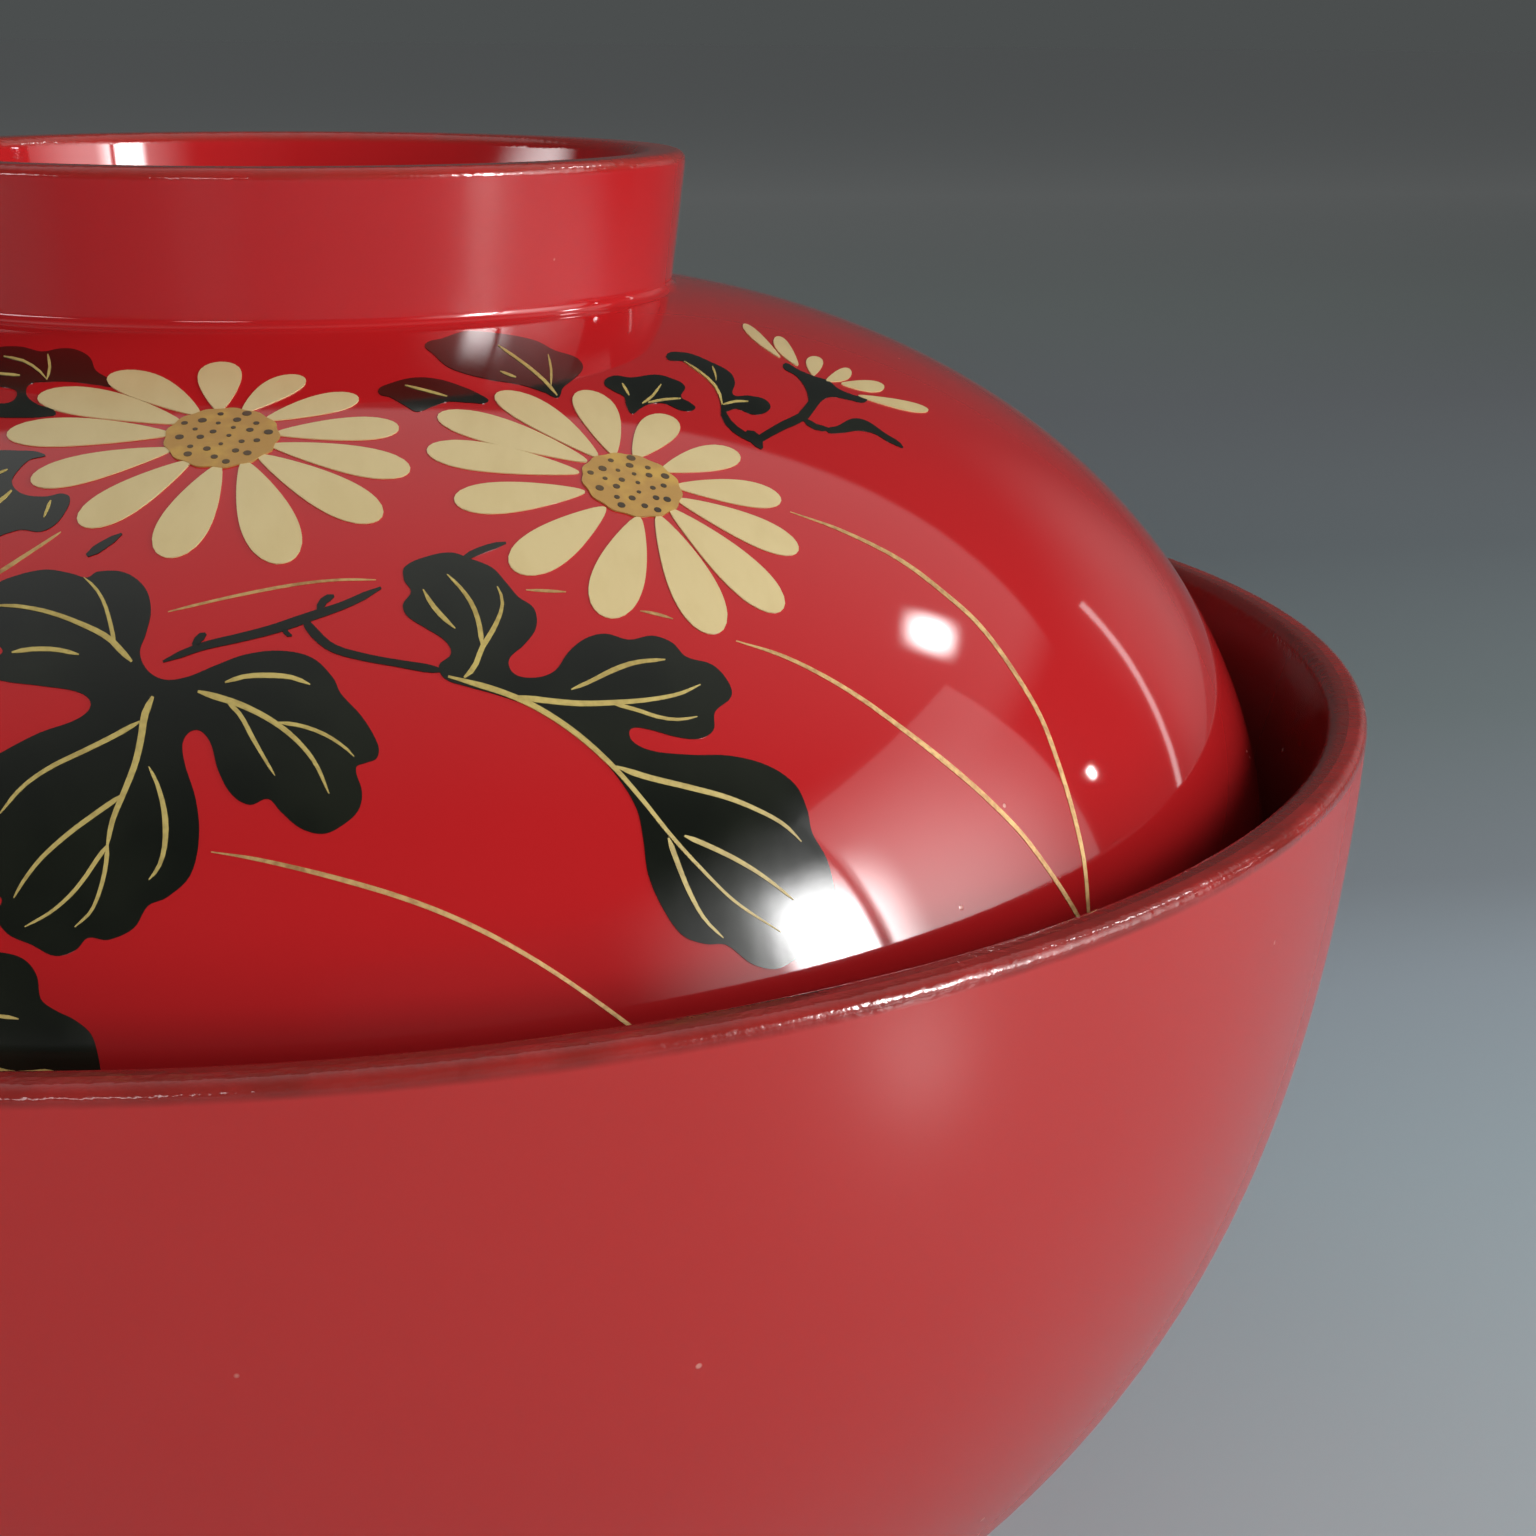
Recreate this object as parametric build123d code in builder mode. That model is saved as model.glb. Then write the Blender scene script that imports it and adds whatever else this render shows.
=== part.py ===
# Lacquered soup bowl with a lid that drops inside its mouth.
# Both are turned wood under lacquer. Millimetres, +Z up, the foot's land is at z = 0.
import os
from math import cos, radians, sin

from build123d import *

os.makedirs("parts", exist_ok=True)

# Lacquer, built up evenly over the turned wood
coat = 0.35
curve_spans = 12  # stretches in which a curve is redrawn one coat away

# Bowl wall and lip
rim_radius = 61.0  # at the lip
bowl_height = 66.0  # foot land to lip crest
lip_width = 2.0
lip_depth = 1.0  # outside of the lip, straight before the wall starts to curve
lip_outer_round = 0.55
lip_inner_round = 0.8
wall_lean = 2.2  # degrees that the wall opens out at the lip
wall_run = 28.8  # how far the wall keeps that lean
belly_slope = 26.0  # degrees above level where the belly leaves the foot
belly_run = 23.6  # how far the belly keeps that slope

# Foot ring
foot_radius = 29.5  # at the land
foot_land = 3.0
foot_edge_round = 0.6
foot_flare = 1.5  # how much slimmer the ring is where it meets the belly
foot_neck_height = 8.6
foot_neck_round = 1.5
foot_recess_depth = 6.0
foot_recess_draft = 0.9  # the recess is narrower at its ceiling
foot_recess_round = 2.0

# Bowl inside
seat_inset = 4.5  # from the rim radius to the place where the lid sits
seat_depth = 10.5  # from the lip crest down to that place
seat_clearance = 0.1
inside_run = 26.0  # how far the inside keeps the slope of the seat
floor_height = 12.5  # inside floor above the foot land
floor_run = 42.0  # how far the floor stays level

# Lid dome and edge
lid_height = 38.9  # edge to the crest of the grip ring
edge_width = 2.4
edge_depth = 1.3  # straight at the edge before the dome starts to curve
edge_outer_round = 0.9
edge_inner_round = 0.8
edge_lean = 6.0  # degrees that the dome closes in above its edge
edge_run = 19.0  # how far the dome keeps that lean
dome_slope = 7.0  # degrees below level where the dome leaves the ring
dome_run = 14.5  # how far the dome keeps that slope

# Grip ring
ring_radius = 22.4  # at the crest
ring_width = 2.55
ring_outer_round = 0.6
ring_inner_round = 0.8
ring_flare = 0.85  # how much slimmer the ring is where it meets the dome
ring_side = 7.0  # crest down to the neck
ring_neck_round = 0.5
ring_recess_depth = 6.2
ring_recess_draft = 0.8  # the recess is narrower at its floor
ring_recess_round = 1.8

# Lid underside
lid_inside_lean = 7.0  # degrees that the underside closes in above the edge
lid_inside_run = 18.0  # how far it keeps that lean
ceiling_depth = 10.4  # crest of the grip ring down to the ceiling
ceiling_run = 34.0  # how far the ceiling stays level

# Places that follow from those sizes
seat_height = bowl_height - seat_depth
seat_radius = rim_radius - seat_inset
edge_radius = seat_radius - seat_clearance
foot_neck_radius = foot_radius - foot_flare
ring_neck_radius = ring_radius - ring_flare
ring_top = seat_height + lid_height
ceiling_height = ring_top - ceiling_depth


def heading(angle, length=1.0):
    return Vector(length * cos(radians(angle)), length * sin(radians(angle)))


def on_grid(point):
    # A hundredth of a micron, so that corners meet and the section ends on the axis
    return Vector(round(point.X, 5), round(point.Y, 5))


def grown(region, amount):
    # Half a section moved out, or in where the amount is negative, and still closed along the axis
    with BuildSketch() as moved:
        add(region)
        mirror(about=Plane.YZ)
        offset(amount=amount)
        split(bisect_by=Plane.YZ)
    with BuildSketch() as redrawn:
        with BuildLine():
            for side in moved.face().outer_wire().edges():
                first, middle, last = (on_grid(side @ u) for u in (0, 0.5, 1))
                if side.geom_type == GeomType.LINE:
                    Line(first, last)
                elif side.geom_type == GeomType.CIRCLE:
                    ThreePointArc(first, middle, last)
                else:
                    stations = [side @ (i / curve_spans) for i in range(1, curve_spans)]
                    Spline(first, *stations, last, tangents=(side % 0, side % 1))
        make_face()
    return redrawn.sketch


def banded(section, core, inside, recess):
    # The lacquer between a finished section and its core, parted where the coats meet on the crests
    bands = {}
    for name, region, mode in (
        ("inner", inside, Mode.INTERSECT),
        ("recess", recess, Mode.INTERSECT),
        ("outer", inside + recess, Mode.SUBTRACT),
    ):
        with BuildSketch() as band:
            add(section)
            add(core, mode=Mode.SUBTRACT)
            Rectangle(2 * rim_radius, 2 * coat, align=(Align.CENTER, Align.MAX), mode=Mode.SUBTRACT)
            add(region, mode=mode)
        bands[name] = band.sketch
    return bands


# Half sections are drawn with x as the radius and y as the height.
# The foot is drawn one coat too long, because its land is rubbed down to the wood.
with BuildSketch() as bowl_blank:
    with BuildLine():
        sole = Line((0, -coat), (foot_radius, -coat))
        foot_side = Line(sole @ 1, (foot_neck_radius, foot_neck_height))
        turn = (foot_side % 1).get_angle(Vector(1, 0)) - belly_slope
        foot_neck = JernArc(foot_side @ 1, foot_side % 1, foot_neck_round, -turn)
        lip = Vector(rim_radius, bowl_height)
        lip_foot = lip - heading(90 - wall_lean, lip_depth)
        Bezier(
            foot_neck @ 1,
            foot_neck @ 1 + (foot_neck % 1) * belly_run,
            lip_foot - heading(90 - wall_lean, wall_run),
            lip_foot,
        )
        Polyline(lip_foot, lip, (0, bowl_height), (0, -coat))
    make_face()

with BuildSketch() as bowl_inside:
    with BuildLine():
        seat = Vector(seat_radius, seat_height)
        mouth = Vector(rim_radius - lip_width, bowl_height)
        above = mouth + Vector(0, lip_width)
        Polyline((0, floor_height), (0, above.Y), above, mouth, seat)
        down = (seat - mouth).normalized()
        Bezier(seat, seat + down * inside_run, (floor_run, floor_height), (0, floor_height))
    make_face()

with BuildSketch() as foot_recess:
    land_inner = foot_radius - foot_land
    ceiling_corner = (land_inner - foot_recess_draft, foot_recess_depth)
    with BuildLine():
        Polyline((0, foot_recess_depth), ceiling_corner, (land_inner, -coat), (0, -coat), close=True)
    make_face()
    fillet(foot_recess.vertices().sort_by_distance(ceiling_corner)[0], foot_recess_round)

with BuildSketch() as bowl_section:
    add(bowl_blank.sketch)
    add(bowl_inside.sketch, mode=Mode.SUBTRACT)
    add(foot_recess.sketch, mode=Mode.SUBTRACT)
    for corner, radius in (
        (lip, lip_outer_round),
        (mouth, lip_inner_round),
        ((foot_radius, -coat), foot_edge_round),
        ((land_inner, -coat), foot_edge_round),
    ):
        fillet(bowl_section.vertices().sort_by_distance(corner)[0], radius)

bowl_wood = grown(bowl_section.sketch, -coat)
bowl_coats = banded(
    bowl_section.sketch,
    bowl_wood,
    grown(bowl_inside.sketch, lip_width / 2),
    grown(foot_recess.sketch, foot_land / 2),
)

with BuildSketch() as lid_blank:
    with BuildLine():
        edge = Vector(edge_radius, seat_height)
        edge_top = edge + heading(90 + edge_lean, edge_depth)
        ring_edge = Vector(ring_radius, ring_top)
        ring_face = Line(ring_edge, (ring_neck_radius, ring_top - ring_side))
        turn = (ring_face % 1).get_angle(Vector(1, 0)) - dome_slope
        ring_neck = JernArc(ring_face @ 1, ring_face % 1, ring_neck_round, turn)
        Bezier(
            ring_neck @ 1,
            ring_neck @ 1 + (ring_neck % 1) * dome_run,
            edge_top + heading(90 + edge_lean, edge_run),
            edge_top,
        )
        Polyline(edge_top, edge, (0, seat_height), (0, ring_top), ring_edge)
    make_face()

with BuildSketch() as lid_inside:
    with BuildLine():
        edge_inner = Vector(edge_radius - edge_width, seat_height)
        inner_top = edge_inner + heading(90 + lid_inside_lean, edge_depth)
        below = edge_inner - Vector(0, edge_width)
        Polyline((0, ceiling_height), (0, below.Y), below, edge_inner, inner_top)
        Bezier(
            inner_top,
            inner_top + heading(90 + lid_inside_lean, lid_inside_run),
            (ceiling_run, ceiling_height),
            (0, ceiling_height),
        )
    make_face()

with BuildSketch() as ring_recess:
    crest_inner = ring_radius - ring_width
    recess_floor = ring_top - ring_recess_depth
    floor_corner = (crest_inner - ring_recess_draft, recess_floor)
    with BuildLine():
        Polyline((0, recess_floor), floor_corner, (crest_inner, ring_top), (0, ring_top), close=True)
    make_face()
    fillet(ring_recess.vertices().sort_by_distance(floor_corner)[0], ring_recess_round)

with BuildSketch() as lid_section:
    add(lid_blank.sketch)
    add(lid_inside.sketch, mode=Mode.SUBTRACT)
    add(ring_recess.sketch, mode=Mode.SUBTRACT)
    for corner, radius in (
        (edge, edge_outer_round),
        (edge_inner, edge_inner_round),
        (ring_edge, ring_outer_round),
        ((crest_inner, ring_top), ring_inner_round),
    ):
        fillet(lid_section.vertices().sort_by_distance(corner)[0], radius)

lid_wood = grown(lid_section.sketch, -coat)
lid_coats = banded(
    lid_section.sketch,
    lid_wood,
    grown(lid_inside.sketch, edge_width / 2),
    grown(ring_recess.sketch, ring_width / 2),
)

with BuildPart() as bowl_core:
    with BuildSketch(Plane.XZ):
        add(bowl_wood)
    revolve(axis=Axis.Z)

with BuildPart() as bowl_outer_coat:
    with BuildSketch(Plane.XZ):
        add(bowl_coats["outer"])
    revolve(axis=Axis.Z)

with BuildPart() as bowl_inner_coat:
    with BuildSketch(Plane.XZ):
        add(bowl_coats["inner"])
    revolve(axis=Axis.Z)

with BuildPart() as bowl_underside_coat:
    with BuildSketch(Plane.XZ):
        add(bowl_coats["recess"])
    revolve(axis=Axis.Z)

with BuildPart() as lid_core:
    with BuildSketch(Plane.XZ):
        add(lid_wood)
    revolve(axis=Axis.Z)

with BuildPart() as lid_outer_coat:
    with BuildSketch(Plane.XZ):
        add(lid_coats["outer"])
    revolve(axis=Axis.Z)

with BuildPart() as lid_inner_coat:
    with BuildSketch(Plane.XZ):
        add(lid_coats["inner"])
    revolve(axis=Axis.Z)

with BuildPart() as lid_recess_coat:
    with BuildSketch(Plane.XZ):
        add(lid_coats["recess"])
    revolve(axis=Axis.Z)

bowl_core.part.label = "bowl_core"
bowl_outer_coat.part.label = "bowl_outer_coat"
bowl_inner_coat.part.label = "bowl_inner_coat"
bowl_underside_coat.part.label = "bowl_underside_coat"
lid_core.part.label = "lid_core"
lid_outer_coat.part.label = "lid_outer_coat"
lid_inner_coat.part.label = "lid_inner_coat"
lid_recess_coat.part.label = "lid_recess_coat"

export_step(bowl_core.part, "parts/bowl_core.step")
export_step(bowl_outer_coat.part, "parts/bowl_outer_coat.step")
export_step(bowl_inner_coat.part, "parts/bowl_inner_coat.step")
export_step(bowl_underside_coat.part, "parts/bowl_underside_coat.step")
export_step(lid_core.part, "parts/lid_core.step")
export_step(lid_outer_coat.part, "parts/lid_outer_coat.step")
export_step(lid_inner_coat.part, "parts/lid_inner_coat.step")
export_step(lid_recess_coat.part, "parts/lid_recess_coat.step")
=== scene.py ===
from math import atan2, cos, pi, radians, sin, sqrt, tan

import bmesh
import bpy
from mathutils import Matrix, Vector
from mathutils.bvhtree import BVHTree
from mathutils.geometry import interpolate_bezier


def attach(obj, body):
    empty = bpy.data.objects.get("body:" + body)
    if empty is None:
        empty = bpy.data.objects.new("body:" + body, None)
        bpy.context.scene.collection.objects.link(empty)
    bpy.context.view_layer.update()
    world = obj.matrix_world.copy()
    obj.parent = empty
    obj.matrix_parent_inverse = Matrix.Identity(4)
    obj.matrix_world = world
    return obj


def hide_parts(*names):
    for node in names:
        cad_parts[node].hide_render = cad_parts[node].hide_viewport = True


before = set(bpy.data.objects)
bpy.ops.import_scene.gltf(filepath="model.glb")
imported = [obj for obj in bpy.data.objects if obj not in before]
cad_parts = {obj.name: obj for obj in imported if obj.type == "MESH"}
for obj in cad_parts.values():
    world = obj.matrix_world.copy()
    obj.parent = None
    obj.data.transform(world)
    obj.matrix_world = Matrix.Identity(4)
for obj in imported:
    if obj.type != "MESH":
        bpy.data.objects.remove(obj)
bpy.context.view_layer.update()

mm = 0.001

# where the photo was taken from, worked out from the two lips that it shows
photo = {
    "size": 1536,                       # pixels each way
    "focal": 2293.5,                    # pixels
    "eye": (0.0, -0.13481, 0.10033),    # metres
    "yaw": 0.2034,                      # radians to the right
    "pitch": 0.3079,                    # radians down
    "roll": 0.0084,
    "sensor": 36.0,                     # mm
}
eye = Vector(photo["eye"])
lensTurn = (Matrix.Rotation(-photo["yaw"], 3, "Z")
            @ Matrix.Rotation(pi / 2 - photo["pitch"], 3, "X")
            @ Matrix.Rotation(photo["roll"], 3, "Z"))


def addCamera():
    lens = bpy.data.cameras.new("photoCamera")
    lens.sensor_width = photo["sensor"]
    lens.lens = photo["focal"] / photo["size"] * photo["sensor"]
    lens.clip_start = 0.01
    lens.clip_end = 200
    camera = bpy.data.objects.new("photoCamera", lens)
    camera.matrix_world = Matrix.Translation(eye) @ lensTurn.to_4x4()
    bpy.context.scene.collection.objects.link(camera)
    bpy.context.scene.camera = camera


# Shader maths: a wrapped socket, on which arithmetic adds Math nodes
class Tone:
    def __init__(self, socket):
        self.socket = socket

    def node(self, kind, settings={}, inputs={}, output=0):
        tree = self.socket.id_data
        made = tree.nodes.new("ShaderNode" + kind)
        for name, value in settings.items():
            if name == "stops":
                elements = made.color_ramp.elements
                while len(elements) < len(value):
                    elements.new(1)
                for element, (position, colour) in zip(elements, value):
                    element.position = position
                    element.color = (*colour, 1)
            else:
                setattr(made, name, value)
        for key, value in inputs.items():
            if isinstance(value, Tone):
                tree.links.new(value.socket, made.inputs[key])
            else:
                made.inputs[key].default_value = value
        return Tone(made.outputs[output])

    def also(self, output):
        return Tone(self.socket.node.outputs[output])

    def maths(self, operation, *values):
        return self.node("Math", {"operation": operation}, dict(enumerate(values)))

    def __add__(self, other):
        return self.maths("ADD", self, other)

    def __sub__(self, other):
        return self.maths("SUBTRACT", self, other)

    def __rsub__(self, other):
        return self.maths("SUBTRACT", other, self)

    def __mul__(self, other):
        return self.maths("MULTIPLY", self, other)

    def __gt__(self, other):
        return self.maths("GREATER_THAN", self, other)

    __radd__ = __add__
    __rmul__ = __mul__

    def mask(self, low, high):      # 0 below low, 1 above high, smooth between; low may be the larger
        values = {"Value": self, "From Min": low, "From Max": high}
        return self.node("MapRange", {"interpolation_type": "SMOOTHSTEP"}, values)

    def noise(self, scale, detail=2.0, rough=0.5):
        values = {"Vector": self, "Scale": scale, "Detail": detail, "Roughness": rough}
        return self.node("TexNoise", {}, values)

    def stretched(self, x, y, z):
        return self.node("Mapping", {}, {"Vector": self, "Scale": (x, y, z)})

    def part(self, axis):
        return self.node("SeparateXYZ", {}, {0: self}, axis)

    def blend(self, under, over):   # this value is the share of the second colour
        values = {0: self, 6: under, 7: over}
        return self.node("Mix", {"data_type": "RGBA"}, values, 2)

    def feed(self, shader, name):
        self.socket.id_data.links.new(self.socket, shader.inputs[name])

    def bump(self, shader, height):
        self.node("Bump", {}, {"Strength": 1.0, "Distance": height, "Height": self}).feed(shader, "Normal")


def srgb(red, green, blue):
    values = [value / 255 for value in (red, green, blue)]
    return tuple(v / 12.92 if v <= 0.04045 else ((v + 0.055) / 1.055) ** 2.4 for v in values)


def rgba(*colour):
    return (*srgb(*colour), 1)


def startMaterial(name):
    material = bpy.data.materials.new(name)
    material.use_nodes = True
    shader = material.node_tree.nodes["Principled BSDF"]
    place = Tone(shader.outputs[0]).node("TexCoord", output="Object")
    return material, shader, place


# the red finish: what differs from one coat to another
lidRed = {
    "colour": (194, 31, 34),
    "deep": (187, 28, 32),
    "rough": 0.05,
    "peel": 0.0016,         # mm, height of the fine waves left by the brush
    "specks": 0.04,         # size of a speck against the spacing of the specks
    "wear": (150, 52, 42),
    "wearFrom": 93.7,       # mm up, where the rubbed crest starts
    "wearFull": 94.1,
    "crestRough": 0.12,
    "beads": 0.05,          # mm, how uneven the crest is
    "edge": (114, 20, 21),  # painted shade: darker towards the lower edge, where the bowl's lip shades the lid
    "paintedShadeFrom": 69.0,       # mm up, where that starts
    "paintedShadeFull": 59.0,
}
wallRed = {**lidRed, "colour": (195, 50, 47), "deep": (188, 46, 44), "rough": 0.26,
           "peel": 0.003, "specks": 0.05, "wear": (128, 38, 32), "wearFrom": 65.15, "wearFull": 65.5,
           # the wall gets no painted shade: its band lies below the part
           "edge": (188, 46, 44), "paintedShadeFrom": -1.0, "paintedShadeFull": -2.0}
# painted shade: the inside coat is a darker red than the outside, standing in for the shade in the gap under
# the lid
shadedInsideRed = {**wallRed, "colour": (136, 32, 31), "deep": (120, 28, 28), "rough": 0.15,
             "wearFrom": 64.6, "wearFull": 65.6}
# nothing rubs the undersides, so their worn band lies far above the part
underRed = {**shadedInsideRed, "colour": (160, 33, 33), "deep": (148, 29, 30), "wearFrom": 900.0, "wearFull": 901.0}
lacquerGrain = {            # pattern scales, per metre
    "clouds": 24.0,
    "patches": 260.0,
    "dust": 300.0,
    "waves": 420.0,
    "ripples": 900.0,
    "beads": 2000.0,
}
dustLook = {
    "bare": 0.7,            # share of the cells that hold no speck
    "colour": (226, 160, 146),
    "cover": 0.7,           # how far it hides the red
    "rough": 0.3,
    "rise": 6.0,            # against the height of the waves
}


def redLacquer(name, finish):
    material, shader, place = startMaterial(name)
    clouds = place.noise(lacquerGrain["clouds"], 3.0).mask(0.1, 0.9)
    colour = clouds.blend(rgba(*finish["deep"]), rgba(*finish["colour"]))
    # painted shade: the colour darkens towards the lid's lower edge, standing in for the shadow of the bowl's
    # lip
    low = place.part("Z").mask(finish["paintedShadeFrom"] * mm, finish["paintedShadeFull"] * mm)
    colour = low.blend(colour, rgba(*finish["edge"]))
    # the crest is rubbed, so it is browner there, and uneven
    patchy = place.noise(lacquerGrain["patches"], 3.0).mask(0.25, 0.75)
    crest = place.part("Z").mask(finish["wearFrom"] * mm, finish["wearFull"] * mm)
    colour = (crest * (0.4 + 0.5 * patchy)).blend(colour, rgba(*finish["wear"]))
    # dust that dried into the coat: some cells of a cell pattern hold a speck
    dust = place.node("TexVoronoi", {}, {"Vector": place, "Scale": lacquerGrain["dust"]}, "Distance")
    cellColour = dust.also("Color")
    chosen = cellColour.node("SeparateColor", {}, {0: cellColour}, 0) > dustLook["bare"]
    speck = dust.mask(finish["specks"], finish["specks"] * 0.5) * chosen
    colour = (speck * dustLook["cover"]).blend(colour, rgba(*dustLook["colour"]))
    colour.feed(shader, "Base Color")
    rough = finish["rough"] + speck * dustLook["rough"]
    (rough + crest * (finish["crestRough"] - finish["rough"])).feed(shader, "Roughness")
    waves = place.noise(lacquerGrain["waves"], 3.0) + place.noise(lacquerGrain["ripples"], 2.0) * 0.25
    waves = waves + speck * dustLook["rise"]
    beads = crest * place.noise(lacquerGrain["beads"], 2.0)
    (waves * finish["peel"] + beads * finish["beads"]).bump(shader, mm)
    return material


petalCream = {"colour": (221, 199, 145), "shade": (216, 193, 138), "rough": 0.25}
discOchre = {"colour": (188, 144, 76), "bright": (206, 164, 80), "rough": 0.3}
dotBrown = {"colour": (52, 40, 24), "shade": (92, 70, 38), "rough": 0.3}
leafBlack = {"colour": (18, 21, 15), "shade": (28, 31, 22), "rough": 0.08}
lineGold = {"colour": (200, 178, 100), "shade": (172, 148, 78), "rough": 0.34}
grassGold = {"colour": (206, 168, 108), "shade": (164, 118, 70), "rough": 0.35}


def petalPaint():
    material, shader, place = startMaterial("petalCream")
    strokes = place.stretched(1.0, 0.35, 0.6).noise(1100.0, 3.0)
    clouds = place.noise(210.0, 2.0)
    tone = (strokes * 0.5 + clouds * 0.5).mask(0.36, 0.62)
    tone.blend(rgba(*petalCream["shade"]), rgba(*petalCream["colour"])).feed(shader, "Base Color")
    (petalCream["rough"] + strokes * 0.12).feed(shader, "Roughness")
    (strokes * 0.6 + clouds).bump(shader, 0.002 * mm)
    return material


def discPaint():
    material, shader, place = startMaterial("discOchre")
    patches = place.noise(520.0, 3.0).mask(0.45, 0.66)
    grain = place.noise(2600.0, 2.0)
    patches.blend(rgba(*discOchre["colour"]), rgba(*discOchre["bright"])).feed(shader, "Base Color")
    (discOchre["rough"] + grain * 0.2).feed(shader, "Roughness")
    shader.inputs["Metallic"].default_value = 0.1
    (grain + patches).bump(shader, 0.008 * mm)
    return material


def darkPaint(name, finish):
    material, shader, place = startMaterial(name)
    clouds = place.noise(160.0, 3.0).mask(0.35, 0.7)
    clouds.blend(rgba(*finish["colour"]), rgba(*finish["shade"])).feed(shader, "Base Color")
    (finish["rough"] + clouds * 0.06).feed(shader, "Roughness")
    (place.noise(480.0, 3.0) + clouds).bump(shader, 0.004 * mm)
    return material


def goldPaint(name, finish, metallic):
    material, shader, place = startMaterial(name)
    powder = place.noise(3800.0, 2.0)
    streak = place.noise(300.0, 2.0)
    tone = (powder * 0.45 + streak * 0.55).mask(0.34, 0.62)
    tone.blend(rgba(*finish["shade"]), rgba(*finish["colour"])).feed(shader, "Base Color")
    (finish["rough"] + powder * 0.25).feed(shader, "Roughness")
    shader.inputs["Metallic"].default_value = metallic
    powder.bump(shader, 0.01 * mm)
    return material


def turnedWood():
    material, shader, place = startMaterial("turnedWood")
    grain = place.stretched(1.0, 0.12, 1.0).noise(420.0, 4.0, 0.6)
    pores = place.stretched(1.0, 0.05, 1.0).noise(2600.0, 2.0).mask(0.6, 0.7)
    colour = grain.mask(0.3, 0.7).blend(rgba(150, 106, 70), rgba(196, 152, 108))
    (pores * 0.6).blend(colour, rgba(104, 70, 46)).feed(shader, "Base Color")
    (0.6 + grain * 0.2).feed(shader, "Roughness")
    (grain - pores * 0.5).bump(shader, 0.02 * mm)
    return material


# Turned skins: each lies exactly where its coat is
def heading(degrees):
    return Vector((cos(radians(degrees)), 0, sin(radians(degrees))))


def onProfile(radius, height):
    return Vector((radius, 0, height))


def curve(start, startPull, endPull, end, count=72):
    return [(p.x, p.z) for p in interpolate_bezier(start, start + startPull, end + endPull, end, count)]


lipCorner = onProfile(61, 66)
lipFoot = lipCorner - heading(87.8)
seat = onProfile(56.5, 55.5)
mouthSlope = (seat - onProfile(59, 66)).normalized()
edgeTop = onProfile(56.4, 55.5) + heading(96) * 1.3
innerEdgeTop = onProfile(54.0, 55.5) + heading(97) * 1.3
ringNeck = onProfile(21.985, 86.843)
domeCurve = (edgeTop, heading(96) * 19, heading(-7) * 14.5, ringNeck)

# half sections in mm: radius, height and, at a corner, the radius of its rounding
skins = {
    "bowlOuterSkin": {
        "replaces": "bowl_outer_coat", "body": "bowl", "finish": "wall",
        "section": [(28.6, -0.35), (29.5, -0.35, 0.6), (27.82, 9.7, 1.5)]
        + curve(onProfile(28.82, 10.19), heading(26) * 23.6, heading(87.8) * -28.8, lipFoot)
        + [(61, 66, 0.55), (60, 66)],
        "floorCut": True,       # the foot's rounding runs out at the surface that it stands on
    },
    "bowlInnerSkin": {
        "replaces": "bowl_inner_coat", "body": "bowl", "finish": "inside",
        "section": [(60, 66), (59, 66, 0.8)]
        + curve(seat, mouthSlope * 26, onProfile(42, 0), onProfile(0, 12.5)),
        "inside": True,
    },
    "bowlUndersideSkin": {
        "replaces": "bowl_underside_coat", "body": "bowl", "finish": "under",
        "section": [(26.555, 0), (25.6, 6.0, 2.0), (0, 6.0)],
        "inside": True,
    },
    "lidOuterSkin": {
        "replaces": "lid_outer_coat", "body": "lid", "finish": "lid",
        "section": [(55.2, 55.5), (56.4, 55.5, 0.9)] + curve(*domeCurve)
        + [(21.49, 86.904, 0.5), (22.4, 94.4, 0.6), (21.125, 94.4)],
    },
    "lidInnerSkin": {
        "replaces": "lid_inner_coat", "body": "lid", "finish": "under",
        "section": [(55.2, 55.5), (54.0, 55.5, 0.8)]
        + curve(innerEdgeTop, heading(97) * 18, onProfile(34, 0), onProfile(0, 84)),
        "inside": True,
    },
    "lidRecessSkin": {
        "replaces": "lid_recess_coat", "body": "lid", "finish": "lid",
        "section": [(21.125, 94.4), (19.85, 94.4, 0.8), (19.05, 88.2, 1.8), (0, 88.2)],
        "inside": True,
    },
}
turning = {"steps": 256, "coat": 0.35, "cornerSteps": 8, "sharpFrom": 50}     # count, mm, count, degrees


def drawSection(shape, section):
    corners = [shape.verts.new((point[0], 0, point[1])) for point in section]
    for start, end in zip(corners, corners[1:]):
        shape.edges.new((start, end))
    for corner, point in zip(corners, section):
        if len(point) > 2:
            before, after = (edge.other_vert(corner).co - corner.co for edge in corner.link_edges)
            reach = point[2] / tan(before.angle(after) / 2)
            bmesh.ops.bevel(shape, geom=[corner], offset=reach, offset_type="OFFSET", affect="VERTICES",
                            segments=turning["cornerSteps"], profile=0.5, material=-1, clamp_overlap=False)


def spinSection(shape, steps):
    bmesh.ops.spin(shape, geom=shape.verts[:] + shape.edges[:], cent=(0, 0, 0), axis=(0, 0, 1),
                   angle=2 * pi, steps=steps, use_merge=True)
    bmesh.ops.remove_doubles(shape, verts=shape.verts, dist=0.0005)
    bmesh.ops.recalc_face_normals(shape, faces=shape.faces)


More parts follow.
